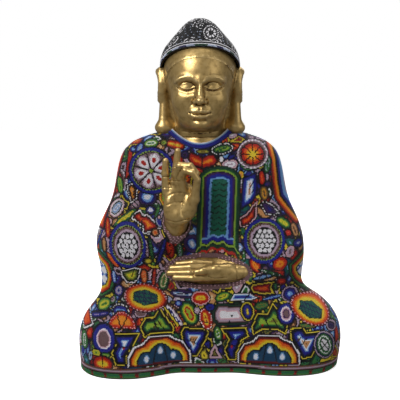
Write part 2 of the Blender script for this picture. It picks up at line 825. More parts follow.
def chest_panel(a: np.ndarray, b: np.ndarray) -> Codes:
    """An arched panel: green and lime edges, a purple and blue band, a saw-toothed sky line and a teal
    field crossed by black chevrons, above a foot of zigzag lines."""
    u, v = a * 35, b * 75 + 276
    arch = [(-35, 190), (35, 190), (35, 328)]
    arch += [(35 * math.cos(t), 328 + 22 * math.sin(t)) for t in np.linspace(0.15, math.pi - 0.15, 12)]
    arch += [(-35, 328)]
    edge = shape_depth(u, v, arch)
    made = banded(edge, ((0, "k"), (4.4, "e"), (5.8, "g"), (8.0, "i"), (9.4, "k"), (12.8, "v"), (17.2, "b"),
                         (20.6, "l"), (99, "c")))
    saw = (edge > 15.8) & (edge < 22.2) & (wave(v, 5.0) > 0.55)
    made[saw & (edge < 18.2)] = jar("b")
    made[saw & (edge > 20.2)] = jar("l")
    chevron = (v - 4.6 * wave(u, 14.0)) % 9.6
    made[(edge > 21.0) & (chevron < 2.0) & (v > 238)] = jar("k")
    foot = v - (219 + 5.0 * wave(u + 9, 18.0) - 0.010 * u * u)
    core = edge > 8.2
    for low, high, letter in ((-60, -9, "r"), (-9, -4, "e"), (-4, -2, "k"), (-2, 1.4, "i"), (1.4, 3.0, "k"),
                              (3.0, 9.5, "b"), (9.5, 13.0, "l")):
        band = (foot > low) & (foot <= high) & (core | (foot < 1.4))
        made[band] = jar(letter)
    made[(foot < -13)] = -1
    made[edge < -1.5] = -1
    return made


SLEEVE_ROWS = "kdroaakkbblllmpppppppp"
HEART_ROWS = "kykknbblwhhuh"
KITE_ROWS = "kykkegiixaahh"

FRONT = (
    # the sleeves' stripes, and the stepped bands on the hips
    Motif(SLEEVE_ROWS, shape=((110, 402), (119, 360), (123, 320), (128, 292), (143, 272), (165, 246),
          (250, 236), (250, 402))),
    Motif(SLEEVE_ROWS, shape=((-124, 402), (-133, 360), (-143, 325), (-147, 300), (-160, 272), (-166, 240),
          (-250, 236), (-250, 402))),
    Motif("kegkroaykw", shape=((180, 204), (150, 184), (152, 165), (160, 150), (172, 138), (190, 126),
          (212, 112), (280, 100), (280, 204))),
    Motif("kegkroaykw", shape=((-174, 204), (-152, 186), (-146, 165), (-146, 150), (-152, 132), (-172, 116),
          (-280, 110), (-280, 204))),
    # right shoulder and sleeve
    Motif("krroayy", shape=((-131, 325), (-124, 378), (-115, 372), (-117, 330)),
          lines=((-124, 340, -118, 352, 1.8, "k"), (-125, 330, -119, 342, 1.8, "k"))),
    Motif("kgiig", oval=(-139, 315, 7, 16, 8)),
    Motif("kwkuahha", shape=((-129, 316), (-117, 323), (-105, 312), (-107, 292), (-120, 282)), dashes="k",
          lines=((-115, 300, -111, 316, 1.6, "k"),)),
    Motif("kqwkslws", oval=(-144, 277, 13, 19, -38)),
    Motif("kvnbllww", oval=(-90, 297, 17, 15, 0)),
    Motif("kkbww", oval=(-84, 277, 10, 9, 0)),
    Motif("kgii", shape=((-71, 292), (-66, 280), (-74, 266), (-80, 262), (-75, 280))),
    Motif("kwkdroaayy", shape=((-120, 262), (-113, 273), (-101, 279), (-95, 271), (-89, 273), (-60, 251),
          (-98, 235), (-99, 250)),
          dots=((-108, 256, 1.8, "k"), (-104, 251, 1.8, "k")), lines=((-98, 243, -98, 262, 1.9, "k"),)),
    Motif("kgyiig", shape=((-153, 244), (-140, 262), (-118, 277), (-104, 280), (-118, 262), (-138, 250))),
    Motif("krroa", oval=(-159, 244, 6, 17, 6)),
    Motif("kroao", oval=(-150, 190, 18, 6, -52)),
    Motif("kuhh", oval=(-165, 215, 6, 14, 4)),
    # between the right elbow and the panel
    Motif("kpmmp", oval=(-90, 214, 5, 20, 6)),
    Motif("kegge", oval=(-82, 210, 4.5, 24, 6)),
    Motif("kxyyi", oval=(-88, 190, 8, 7, 0)),
    Motif("knbllsl", shape=((-78, 178), (-72, 204), (-62, 232), (-53, 238), (-56, 216), (-66, 188))),
    Motif("kdrrodr", oval=(-50, 213, 9, 19, 6),
          dots=((-52, 220, 1.5, "k"), (-49, 210, 1.5, "k"), (-52, 203, 1.5, "k"))),
    Motif("kegse", oval=(-34, 210, 7, 16, 4)),
    Motif("kxyi", oval=(-33, 231, 6, 7, 0)),
    Motif("kvvnblsw", oval=(-13, 221, 15, 18, 20)),
    Motif("kuho", oval=(-75, 243, 8, 8, 0)),
    Motif("kxiie", oval=(-49, 249, 10, 7, -10)),
    Motif("kxyee", oval=(-24, 249, 14, 7, 10)),
    Motif("ksbb", oval=(-68, 260, 7, 10, 30)),
    Motif("kqm", oval=(-69, 268, 4, 4, 0)),
    # right lap
    Motif("kwkexiyyi", shape=((-138, 172), (-136, 158), (-128, 147), (-112, 147), (-103, 156), (-99, 176),
          (-112, 180), (-126, 176)),
          lines=((-118, 160, -113, 172, 1.6, "k"),)),
    Motif("kuohoh", oval=(-96, 162, 8, 14, 4)),
    Motif("kdror", oval=(-79, 160, 5, 18, -6)),
    Motif("kegfxg", oval=(-62, 157, 10, 16, -14)),
    Motif("kblwl", oval=(-149, 158, 6, 14, 4)),
    Motif("kbmsb", oval=(-141, 135, 9, 10, -20)),
    Motif("kgmpm", oval=(-152, 122, 8, 9, 0)),
    Motif("kyxyk", shape=((-186, 112), (-152, 132), (-148, 126), (-180, 104))),
    Motif("kgiyig", oval=(-166, 112, 14, 9, 26)),
    Motif("kwkbbllww", oval=(-135, 108, 17, 11, 0), dashes="k"),
    Motif("knbbbm", oval=(-172, 99, 20, 5, 16)),
    Motif("kmpp", oval=(-100, 107, 12, 8, 0)),
    Motif("kegg", oval=(-80, 110, 6, 8, 0)),
    Motif("krroaaayy", shape=((-158, 83), (-152, 98), (-140, 108), (-128, 109), (-116, 104), (-107, 92),
          (-104, 83)), dashes="q",
          lines=((-131, 83, -131, 88, 2.4, "h"), (-131, 84, -140, 103, 1.9, "k"),
          (-131, 84, -122, 103, 1.9, "k"))),
    Motif(HEART_ROWS, shape=((-155, 80), (-96, 80), (-106, 62), (-119, 40), (-119, 23), (-142, 23),
          (-149, 46), (-142, 60)),
          dots=((-126, 54, 1.7, "r"), (-120, 48, 1.7, "k")),
          lines=((-134, 56, -112, 58, 1.8, "k"), (-130, 40, -118, 46, 1.8, "k"))),
    Motif("knbbbwqpp", oval=(-161, 67, 22, 25, 0), dashes="k"),
    Motif("kwkroorr", shape=((-204, 98), (-192, 100), (-178, 85), (-200, 70), (-210, 80))),
    Motif("kggwg", oval=(-197, 58, 8, 15, 4)),
    Motif("kyiyg", oval=(-174, 44, 9, 7, 0)),
    Motif("kgieg", oval=(-157, 41, 9, 6, 0)),
    Motif("kdrroayy", oval=(-163, 26, 19, 15, 0), lines=((-163, 20, -163, 40, 1.8, "k"),)),
    Motif("kslk", oval=(-185, 36, 5, 10, -10)),
    Motif("kyyk", oval=(-131, 26, 8, 3, 4)),
    # over the right fan
    Motif(KITE_ROWS, shape=((-69, 120), (-41, 85), (-43, 72), (-60, 74), (-80, 74), (-93, 66), (-102, 86),
          (-94, 102), (-79, 103)),
          lines=((-79, 98, -68, 78, 2.2, "k"), (-72, 96, -60, 82, 1.6, "k")),
          dots=((-76, 86, 1.8, "u"), (-70, 84, 1.8, "k"))),
    Motif("kmwwbnbb", oval=(-43, 104, 7, 23, 40)),
    Motif("kegiyrri", oval=(-18, 108, 15, 22, 28)),
    Motif("kmmw", oval=(-5, 113, 6, 7, 0)),
    Motif("kyyk", shape=((-66, 120), (-60, 122), (-33, 88), (-38, 84))),
    Motif("ksml", oval=(-54, 129, 9, 7, 0)),
    Motif("kvnslwsk", oval=(-28, 139, 24, 7, -3)),
    Motif("kxyy", oval=(-46, 125, 5, 4, 0)),
    Motif("kbls", oval=(-36, 124, 7, 6, 0)),
    # between the knees
    Motif(HEART_ROWS, shape=((-34, 78), (-28, 87), (14, 84), (17, 74), (-2, 32), (-20, 30), (-32, 58)),
          dots=((-16, 64, 1.8, "u"),), lines=((-22, 62, -8, 58, 1.6, "k"), (-6, 66, -16, 50, 1.6, "k"))),
    Motif("kmqkxaay", shape=((25, 60), (9, 27), (41, 27))),
    Motif("kxyyk", shape=((-2, 38), (9, 52), (18, 28), (2, 24))),
    Motif("kegiwg", oval=(30, 74, 9, 15, 8)),
    Motif("kwrroyyr", oval=(10, 99, 12, 20, 14), dashes="r", lines=((16, 92, 2, 96, 1.2, "k"),)),
    Motif("kqrroyya", oval=(1, 133, 17, 13, 0), dashes="q"),
    Motif("kbbn", oval=(17, 118, 9, 7, 0)),
    Motif("kyyk", shape=((24, 126), (30, 126), (32, 112), (14, 112), (24, 116))),
    # left lap and knee
    Motif("kgiyxg", oval=(38, 135, 14, 8, 20)),
    Motif("kwlbkgiiiyi", shape=((48, 127), (57, 141), (82, 142), (103, 130), (88, 127)),
          lines=((74, 128, 84, 140, 1.8, "k"),)),
    Motif("kkyddrooaaa", shape=((81, 150), (88, 159), (120, 159), (135, 157), (125, 146), (133, 130),
          (108, 132), (87, 138))),
    Motif("knlsl", oval=(110, 167, 24, 6, 8),
          lines=((100, 162, 101, 172, 2, "k"), (112, 162, 113, 172, 2, "k"))),
    Motif("kegcg", oval=(129, 146, 5, 8, 10)),
    Motif("kekpmmqwwww", shape=((20, 113), (29, 125), (70, 123), (85, 94), (76, 87), (28, 87), (20, 98)),
          dots=((54, 104, 1.9, "k"), (49, 94, 1.9, "k"))),
    Motif("kyknbbxyy", oval=(80, 110, 13, 17, 10)),
    Motif("kegxg", oval=(104, 118, 14, 8, 8)),
    Motif(KITE_ROWS, shape=((123, 125), (151, 91), (145, 70), (130, 78), (104, 78), (88, 68), (84, 86),
          (92, 101), (97, 109), (112, 107)),
          lines=((107, 104, 118, 80, 2.2, "k"), (122, 100, 132, 84, 1.6, "k")),
          dots=((105, 88, 1.8, "r"), (110, 84, 1.8, "k"))),
    Motif("knbbwqvpp", oval=(146, 104, 17, 18, 0), dashes="k"),
    Motif("kbll", oval=(124, 129, 20, 4, 6)),
    Motif(HEART_ROWS, shape=((31, 86), (79, 86), (84, 68), (72, 60), (64, 38), (64, 25), (46, 24), (39, 45),
          (46, 62)),
          dots=((54, 50, 2.2, "r"), (56, 64, 1.8, "k")),
          lines=((50, 62, 66, 64, 1.6, "k"), (52, 54, 66, 48, 1.6, "k"))),
    Motif(HEART_ROWS, shape=((149, 84), (174, 86), (180, 77), (212, 77), (190, 31), (172, 28), (160, 48),
          (150, 66)),
          dots=((166, 64, 2.2, "u"),), lines=((168, 52, 180, 66, 1.8, "k"), (162, 60, 172, 70, 1.6, "k"))),
    Motif("kxyyk", shape=((166, 24), (188, 24), (188, 28), (166, 28))),
    Motif("kmnegwgew", oval=(212, 50, 20, 26, 24),
          lines=((200, 40, 224, 60, 2, "k"), (204, 60, 220, 40, 2, "k"))),
    Motif("kmkvnn", oval=(226, 78, 12, 9, -30)),
    Motif("kmvnbbllw", oval=(155, 131, 16, 14, 0)),
    Motif("kyki", oval=(140, 120, 10, 3, 4)),
    Motif("kxggx", oval=(183, 85, 18, 5, -6)),
    # left elbow and sleeve
    Motif("kdroaaor", oval=(93, 187, 10, 15, 34)),
    Motif("krroaao", oval=(136, 186, 14, 13, 20)),
    Motif("kegwe", oval=(120, 172, 24, 4.5, -22)),
    Motif("kdrror", oval=(140, 154, 10, 8, -14)),
    Motif("kxyy", oval=(160, 148, 6, 5, 0)),
    Motif("kqmmp", oval=(154, 205, 9, 12, -24)),
    Motif("knbbs", oval=(170, 217, 11, 9, 0)),
    Motif("kuhhu", oval=(164, 239, 8, 14, 20)),
    Motif("kegiyyig", oval=(144, 253, 16, 9, -34)),
    Motif("kkrroh", oval=(152, 236, 9, 8, -30)),
    Motif("kwkvnbblww", shape=((101, 286), (110, 292), (124, 286), (142, 268), (126, 263), (112, 266)),
          dashes="k"),
    Motif("kuxaxu", oval=(110, 303, 9, 14, 8)),
    Motif("kkrroor", oval=(106, 329, 8, 15, 6)),
    Motif("kegsge", oval=(116, 352, 8, 16, -10)),
    Motif("kgmi", oval=(80, 350, 14, 8, -20)),
    Motif("knbblwwhhhh", shape=((68, 274), (72, 330), (97, 341), (99, 318), (98, 300), (88, 286)),
          lines=((84, 312, 96, 330, 2, "n"), (86, 302, 98, 318, 1.6, "n"))),
    Motif("kyah", oval=(70, 336, 6, 8, 10)),
    Motif("kqkdroaxgg", shape=((64, 262), (78, 270), (92, 288), (100, 292), (98, 262), (84, 246), (68, 244)),
          dots=((80, 262, 1.6, "k"), (84, 268, 1.6, "k"))),
    Motif("kuph", oval=(65, 228, 6, 12, 8)),
    Motif("kvlws", oval=(67, 214, 9, 9, -40)),
    Motif("kgce", oval=(74, 238, 5, 10, 20)),
    Motif("kxaxu", oval=(64, 200, 9, 6, 0)),
    Motif("kgwg", oval=(74, 202, 4, 9, 0)),
    # chest and shoulders
    Motif("kqmwwm", oval=(51, 353, 15, 10, 4)),
    Motif("kwkegiigg", oval=(38, 379, 21, 11, 10), dashes="k", lines=((26, 374, 50, 384, 1.6, "e"),)),
    Motif("knbb", oval=(54, 366, 9, 5, 30)),
    Motif("kww", oval=(37, 362, 5, 6, 0)),
    Motif("kdrroaahy", shape=((-18, 376), (-2, 370), (4, 366), (12, 370), (25, 372), (32, 358), (24, 350),
          (6, 346), (-12, 350), (-22, 362)),
          lines=((4, 344, 4, 372, 2.0, "k"),)),
    Motif("kxiyx", oval=(5, 375, 12, 5, 0)),
    Motif("kdroayy", oval=(-43, 386, 19, 9, -12)),
    Motif("kgiwg", oval=(-84, 388, 14, 8, 6)),
    Motif("kxig", oval=(-62, 389, 7, 6, 0)),
    Motif("knvk", oval=(-26, 370, 8, 7, 0)),
    Motif("kbls", oval=(-104, 380, 7, 10, -30)),
    Motif("kyoxi", oval=(-62, 300, 9, 16, 0)),
    # the large motifs
    Special((-83, 342), (39, 39), wheel_flower),
    Special((90, 370), (28, 25), sun_flower, 0),
    Special((-123, 217), (32, 40), medallion),
    Special((110, 225), (35, 36), medallion),
    Special((-93, 129), (38, 20.5), lap_oval),
    Special((190, 106), (38, 20), lap_oval, -24),
    Special((-66, 38), (54, 58), knee_fan),
    Special((117, 38), (54, 58), knee_fan),
    Special((32, 276), (35, 75), chest_panel, -2),
)

BACK = (
    Special((0, 318), (54, 54), wheel_flower, 0, Face.BACK),
    Special((-92, 352), (26, 24), sun_flower, 0, Face.BACK),
    Special((92, 352), (26, 24), sun_flower, 0, Face.BACK),
    Special((-104, 236), (36, 36), medallion, 0, Face.BACK),
    Special((104, 236), (36, 36), medallion, 0, Face.BACK),
    Special((0, 205), (46, 25), lap_oval, 0, Face.BACK),
    Special((-78, 128), (38, 21), lap_oval, 20, Face.BACK),
    Special((78, 128), (38, 21), lap_oval, -20, Face.BACK),
    Special((-124, 38), (54, 58), knee_fan, 0, Face.BACK),
    Special((0, 38), (54, 58), knee_fan, 0, Face.BACK),
    Special((124, 38), (54, 58), knee_fan, 0, Face.BACK),
    Special((6, 236), (34, 34), medallion, 0, Face.LEFT),
    Special((6, 236), (34, 34), medallion, 0, Face.RIGHT),
    Special((10, 318), (28, 28), sun_flower, 0, Face.LEFT),
    Special((10, 318), (28, 28), sun_flower, 0, Face.RIGHT),
    Special((12, 66), (40, 22), lap_oval, 0, Face.LEFT),
    Special((-12, 66), (40, 22), lap_oval, 0, Face.RIGHT),
)
BACK_SHAPES = (
    (KITE_ROWS, ((0, 128), (24, 96), (18, 82), (-18, 82), (-24, 96))),
    (HEART_ROWS, ((34, 86), (90, 86), (76, 62), (66, 30), (58, 30), (48, 60))),
    ("kwkdroaayy", ((44, 182), (56, 196), (68, 190), (86, 200), (104, 184), (78, 168))),
    ("kqwklnbllww", ((44, 262), (62, 284), (84, 286), (72, 264), (56, 248))),
    ("kegiiyyr", ((120, 190), (132, 204), (150, 190), (140, 166), (126, 170))),
    ("kwkddrroxiy", ((60, 320), (70, 336), (92, 320), (84, 296), (66, 298))),
    ("knbbbwqpp", ((132, 120), (150, 132), (168, 116), (160, 96), (138, 98))),
    ("kyymwwssm", ((24, 168), (36, 182), (46, 162), (38, 146), (20, 150))),
)


def both_sides(shapes: Iterable[tuple[str, tuple[tuple[float, float], ...]]]) -> tuple[Motif, ...]:
    """Draws shapes behind the figure on both sides of its middle line.

    Args:
        shapes: the rows and the corners of each shape.

    Returns:
        A motif for each shape and each side.
    """
    made = []
    for rows, corners in shapes:
        for side in (-1, 1):
            made.append(Motif(rows, shape=tuple((side * u, v) for u, v in corners), face=Face.BACK))
    return tuple(made)


PALETTES = ("kxegiyig", "knbllwws", "kqmmwpsw", "kdroaayy", "kuhhfhuo", "klnbbllw", "kyuroaay", "kyyegiig",
            "ktcclwls", "kvpmmqww", "kdrroorr", "kkwgeeii", "kyknbbls", "kmmkuhho", "knvblsww", "kegcgiiy")


@dataclass
class Mosaic:
    """The small cells that fill the ground between the motifs, each in a family of colours of its own."""

    beads: Beads
    pitch: float
    size: float = 17.0
    stretch: float = 1.7
    depth: float = 0.72        # how much of the lead over the next cell counts as depth inside a cell
    nearest: int = 7           # how many cells each bead is compared with
    seed: int = 11

    def paint(self) -> Codes:
        """Works out each bead's jar from how near it is to its cell's edge.

        Returns:
            A jar number for each bead.
        """
        rng = np.random.default_rng(self.seed)
        spots, normals = self.centres(rng)
        tree = KDTree(len(spots))
        for k, spot in enumerate(spots):
            tree.insert(spot, k)
        tree.balance()
        turn = rng.uniform(0, math.pi, len(spots))
        side = np.cross(normals, [0.0, 0.0, 1.0])
        side /= np.maximum(np.linalg.norm(side, axis=1, keepdims=True), 1e-6)
        up = np.cross(side, normals)
        way = np.cos(turn)[:, None] * side + np.sin(turn)[:, None] * up
        family = rng.integers(0, len(PALETTES), len(spots))
        near = np.empty((len(self.beads.place), self.nearest), np.int32)
        for k, place in enumerate(self.beads.place):
            near[k] = [item[1] for item in tree.find_n(place, self.nearest)]
        gap = self.beads.place[:, None, :] - spots[near]
        along = (gap * way[near]).sum(2)
        whole = (gap ** 2).sum(2)
        across = np.sqrt(np.maximum(whole - along ** 2, 0))
        far = np.hypot(along / self.stretch, across)
        order = np.argsort(far, axis=1)
        ranked = np.take_along_axis(far, order, 1)
        mine = near[np.arange(len(near)), order[:, 0]]
        depth = (ranked[:, 1] - ranked[:, 0]) * self.depth
        row = np.minimum((depth / self.pitch + 0.5).astype(int), 7)
        table = np.array([jars(rows) for rows in PALETTES])
        codes = table[family[mine], row]
        side_on = np.abs((self.beads.place - spots[mine]) @ np.array([0.3, 0.2, 0.9]))
        run = along[np.arange(len(near)), order[:, 0]]
        ribbed = (row >= 3) & (np.abs(run % 6.0) < 1.6) & (family[mine] % 3 == 0)
        codes[ribbed & (side_on < 9)] = jar("k")
        return codes

    def centres(self, rng: np.random.Generator) -> tuple[Points, Points]:
        """Picks beads that are all at least one cell size apart."""
        order = rng.permutation(len(self.beads.place))
        cells: dict[tuple[int, int, int], list[int]] = {}
        chosen = []
        for k in order[: len(order) // 2]:
            place = self.beads.place[k]
            key = tuple((place // self.size).astype(int))
            close = False
            for dx in (-1, 0, 1):
                for dy in (-1, 0, 1):
                    for dz in (-1, 0, 1):
                        for other in cells.get((key[0] + dx, key[1] + dy, key[2] + dz), ()):
                            gap = self.beads.place[other] - place
                            if gap @ gap < self.size ** 2:
                                close = True
            if not close:
                cells.setdefault(key, []).append(k)
                chosen.append(k)
        return self.beads.place[chosen], self.beads.normal[chosen]


# ---------------------------------------------------------------- beads as geometry
@dataclass
class BeadBox:
    """The jars: one small bead modelled in each colour, and the scatter that sets them in place."""

    width: float
    height: float = 1.5
    group: bpy.types.GeometryNodeTree = field(init=False)
    models: bpy.types.Collection = field(init=False)

    def __post_init__(self) -> None:
        """Models the bead and builds the scatter."""
        self.models = bpy.data.collections.new("bead_jars")
        bpy.context.scene.collection.children.link(self.models)
        first = self.model()
        for k, glass in enumerate(JARS):
            bead = first if k == 0 else first.copy()
            if k:
                bead.data = first.data.copy()
                self.models.objects.link(bead)
            bead.name = f"jar_{k:02d}"
            dress(bead, BeadGlass(glass))
        self.group = self.scatter()

    def model(self) -> bpy.types.Object:
        """One bead: six sides, drawn out to a low dome above and a seat in the wax below."""
        let_go()
        radius = self.width / 2 * 1.12 * MM
        bpy.ops.mesh.primitive_circle_add(vertices=6, radius=radius, fill_type="NGON", location=(0, 0, 0))
        bead = bpy.context.object
        bpy.ops.object.mode_set(mode="EDIT")
        bpy.ops.mesh.select_all(action="SELECT")
        bpy.ops.mesh.extrude_region_move(TRANSFORM_OT_translate={"value": (0, 0, self.height * 0.55 * MM)})
        bpy.ops.mesh.merge(type="CENTER")
        bpy.ops.mesh.select_mode(type="FACE")
        bpy.ops.mesh.select_all(action="DESELECT")
        bpy.ops.object.mode_set(mode="OBJECT")
        for polygon in bead.data.polygons:
            polygon.select = len(polygon.vertices) == 6
        bpy.ops.object.mode_set(mode="EDIT")
        bpy.ops.mesh.poke(offset=0.0)
        bpy.ops.mesh.select_all(action="SELECT")
        bpy.ops.mesh.normals_make_consistent(inside=False)
        bpy.ops.object.mode_set(mode="OBJECT")
        places = vertices_of(bead)
        middle = np.hypot(places[:, 0], places[:, 1]) < radius * 0.1
        low = middle & (places[:, 2] < radius * 0.1)
        places[low, 2] = -self.height * 0.45 * MM
        move_vertices(bead, places)
        bpy.ops.object.shade_smooth()
        bpy.context.scene.collection.objects.unlink(bead)
        self.models.objects.link(bead)
        return bead

    def scatter(self) -> bpy.types.GeometryNodeTree:
        """Nodes that stand a bead of the right jar on each point, facing along its normal."""
        tree = bpy.data.node_groups.new("bead_scatter", "GeometryNodeTree")
        tree.interface.new_socket("Geometry", in_out="INPUT", socket_type="NodeSocketGeometry")
        tree.interface.new_socket("Geometry", in_out="OUTPUT", socket_type="NodeSocketGeometry")
        nodes, links = tree.nodes, tree.links
        source, target = nodes.new("NodeGroupInput"), nodes.new("NodeGroupOutput")
        info = nodes.new("GeometryNodeCollectionInfo")
        info.inputs["Collection"].default_value = self.models
        info.inputs["Separate Children"].default_value = True
        info.inputs["Reset Children"].default_value = True
        stand = nodes.new("GeometryNodeInstanceOnPoints")
        stand.inputs["Pick Instance"].default_value = True
        align = nodes.new("FunctionNodeAlignRotationToVector")
        align.axis = "Z"
        facing = nodes.new("GeometryNodeInputNamedAttribute")
        facing.data_type = "FLOAT_VECTOR"
        facing.inputs["Name"].default_value = "facing"
        colour = nodes.new("GeometryNodeInputNamedAttribute")
        colour.data_type = "INT"
        colour.inputs["Name"].default_value = "jar"
        real = nodes.new("GeometryNodeRealizeInstances")
        links.new(source.outputs[0], stand.inputs["Points"])
        links.new(info.outputs[0], stand.inputs["Instance"])
        links.new(colour.outputs["Attribute"], stand.inputs["Instance Index"])
        links.new(facing.outputs["Attribute"], align.inputs["Vector"])
        links.new(align.outputs[0], stand.inputs["Rotation"])
        links.new(stand.outputs[0], real.inputs[0])
        links.new(real.outputs[0], target.inputs[0])
        return tree

    def set_in_place(self, name: str, places: Points, facings: Points, codes: Codes) -> bpy.types.Object:
        """Makes one piece of beadwork.

        Args:
            name: the piece's name.
            places: where its beads stand, in millimetres from the neck's axis.
            facings: which way they face.
            codes: their jar numbers.

        Returns:
            The piece, a mesh of real beads.
        """
        mesh = bpy.data.meshes.new(name)
        sunk = placed(places - facings * self.height * 0.55)
        mesh.from_pydata(sunk.tolist(), [], [])
        facing = mesh.attributes.new("facing", "FLOAT_VECTOR", "POINT")
        facing.data.foreach_set("vector", facings.astype(np.float32).ravel())
        colour = mesh.attributes.new("jar", "INT", "POINT")
        colour.data.foreach_set("value", codes.astype(np.int32))
        piece = bpy.data.objects.new(name, mesh)
        bpy.context.scene.collection.objects.link(piece)
        take(piece)
        modifier = piece.modifiers.new("scatter", "NODES")
        modifier.node_group = self.group
        bpy.ops.object.modifier_apply(modifier=modifier.name)
        for spare in ("facing", "jar"):
            if spare in piece.data.attributes:
                piece.data.attributes.remove(piece.data.attributes[spare])
        return piece

    def put_away(self) -> None:
        """Removes the jars and the scatter once every piece is made."""
        for bead in list(self.models.objects):
            bpy.data.objects.remove(bead)
        bpy.data.collections.remove(self.models)
        bpy.data.node_groups.remove(self.group)


# ---------------------------------------------------------------- sub-assemblies
def under(skin: Skin, turn: float, radius: float) -> tuple[Vector | None, Vector | None]:
    """Looks straight down beside the neck for the skin.

    Args:
        skin: the outside of the beadwork.
        turn: the place round the neck, in radians from the front.
        radius: how far out from the middle of the neck's opening.

    Returns:
        The place and the normal of the skin there, or (None, None).
    """
    start = (NECK_MIDDLE[0] + radius * math.sin(turn), NECK_MIDDLE[1] - radius * math.cos(turn), NECK_TOP)
    return skin.tree.ray_cast(start, (0, 0, -1), NECK_LOOK)[:2]


@dataclass
class RobeBeadwork:
    """All the beads on the robe, one piece for each CAD node, or several where a node holds very many."""

    box: BeadBox
    pitch: float = 2.1
    most: int = 16000
    neck_rows: str = "wlbbbn"
    hem_length: float = 1188.0             # 44 clusters of red, 27 mm apart
    wrist_low: tuple[float, float, float] = (-46.0, -66.0, 232.0)
    wrist_way: tuple[float, float, float] = (11.0, -29.0, 44.0)
    cuff_mauve: float = 25.0               # the mauve of the wrist's cuff ends this far from the wrist's axis
    cuff_black: float = 26.5               # and its black edge here
    skip: tuple[str, ...] = ("hair_beadwork", "hair_brim_bands")

    def build(self) -> list[bpy.types.Object]:
        """Lays, paints and sets every bead.

        Returns:
            The finished pieces.
        """
        names = tuple(sorted(n for n in frame["nodes"] if n.endswith("_beads") and n not in self.skip))
        net = RobeField(Skin(names), levels=401, pitch=self.pitch)
        net.sample()
        beads = net.lay(np.full(net.ways, self.pitch * 0.3))
        pieces, limit = self.neckline(net.skin)
        dx, dy = beads.place[:, 0] - NECK_MIDDLE[0], beads.place[:, 1] - NECK_MIDDLE[1]
        degree = np.degrees(np.arctan2(dx, -dy)).astype(int) % 360
        beads = beads.kept(np.hypot(dx, dy) > limit[degree])
        neck = names.index("neckline_beads")
        stray = beads.owner == neck
        front = beads.place[:, 1] < FRONT_BACK
        beads.owner[stray & front] = names.index("torso_front_beads")
        beads.owner[stray & ~front] = names.index("back_beads")
        codes = self.colours(beads, names)
        for k, name in enumerate(names):
            if k == neck:
                continue
            mine = np.flatnonzero(beads.owner == k)
            pieces += self.pieces(name, beads.kept(mine), codes[mine])
        return pieces

    def pieces(self, node: str, beads: Beads, codes: Codes) -> list[bpy.types.Object]:
        """Cuts a node's beads into pieces of a handy size, from the figure's right to its left."""
        parts = max(1, math.ceil(len(codes) / self.most))
        order = np.argsort(beads.place[:, 0], kind="stable")
        made = []
        for k, share in enumerate(np.array_split(order, parts)):
            if not len(share):
                continue
            name = node.replace("_beads", "_seed_beads") + (f"_{k + 1}" if parts > 1 else "")
            piece = self.box.set_in_place(name, beads.place[share], beads.normal[share], codes[share])
            made.append(rides(piece, node, node))
        return made

    def neckline(self, skin: Skin) -> tuple[list[bpy.types.Object], np.ndarray]:
        """Rings of beads that follow the neck's opening over the skin.

        Args:
            skin: the outside of the beadwork.

        Returns:
            The finished piece in a list, and for each degree round the neck the radius where the rings end.
        """
        radii = np.arange(NECK_HOLE_R + 0.4, NECK_HOLE_R + 24.0, 0.4)
        turns = np.radians(np.arange(360))
        heights = np.full((360, len(radii)), math.nan)
        for k, turn in enumerate(turns):
            for i, radius in enumerate(radii):
                spot = under(skin, turn, radius)[0]
                heights[k, i] = spot.z if spot is not None else heights[k, i - 1]
        steps = np.hypot(np.diff(radii), np.diff(heights, axis=1))
        run = np.concatenate([np.zeros((360, 1)), np.cumsum(steps, axis=1)], 1)
        row_step = self.pitch * ROW_SHARE

        def radius_at(distance: float) -> np.ndarray:
            """The radius at each degree where the skin has run this far from the opening."""
            return smooth_ring(np.array([np.interp(distance, run[k], radii) for k in range(360)]), 5)

        places, facings, codes = [], [], []
        for k, letter in enumerate(self.neck_rows):
            ring = radius_at(0.6 + k * row_step)
            length = 2 * math.pi * ring.mean()
            count = round(length / self.pitch)
            for turn in (np.arange(count) + 0.5 * (k % 2)) * 2 * math.pi / count:
                radius = np.interp(turn, np.append(turns, 2 * math.pi), np.append(ring, ring[0]))
                spot, normal = under(skin, turn, radius)
                if spot is not None:
                    places.append(spot)
                    facings.append(normal)
                    codes.append(jar(letter))
        piece = self.box.set_in_place("neckline_seed_beads", np.array(places), np.array(facings),
                                      np.array(codes))
        limit = radius_at(0.6 + (len(self.neck_rows) - 0.4) * row_step)
        return [rides(piece, "neckline_beads", "neckline_beads")], limit

    def colours(self, beads: Beads, names: Sequence[str]) -> Codes:
        """Paints the ground, then the motifs in order, then the bands at the hem and the cuffs."""
        codes = Mosaic(beads, self.pitch).paint()
        for motif in BACK + both_sides(BACK_SHAPES) + FRONT:
            (rx, ry), (nx, ny) = motif.face.value
            seen = np.flatnonzero(beads.place[:, 0] * nx + (beads.place[:, 1] - FRONT_BACK) * ny > 0)
            if motif.face in (Face.LEFT, Face.RIGHT):
                seen = np.flatnonzero(beads.normal[:, 0] * nx > 0.55)
            u = beads.place[seen, 0] * rx + beads.place[seen, 1] * ry
            part = codes[seen]
            motif.paint(u, beads.place[seen, 2], part, self.pitch)
            codes[seen] = part
        self.hips(beads, codes)
        self.hem(beads, names, codes)
        self.cuffs(beads, names, codes)
        return codes

    def hips(self, beads: Beads, codes: Codes) -> None:
        """Blue diamonds on white inside the stepped bands."""
        x, y, z = beads.place.T
        field_white = (codes == jar("w")) & (np.abs(x) > 150) & (z > 95) & (z < 206) & (y < FRONT_BACK)
        diamond = np.abs((x + 3) % 15 - 7.5) * 0.9 + np.abs((z + 4) % 17 - 8.5)
        codes[field_white & (diamond < 7.5)] = jar("l")
        codes[field_white & (diamond < 5.6)] = jar("b")
        codes[field_white & (diamond < 2.4)] = jar("w")

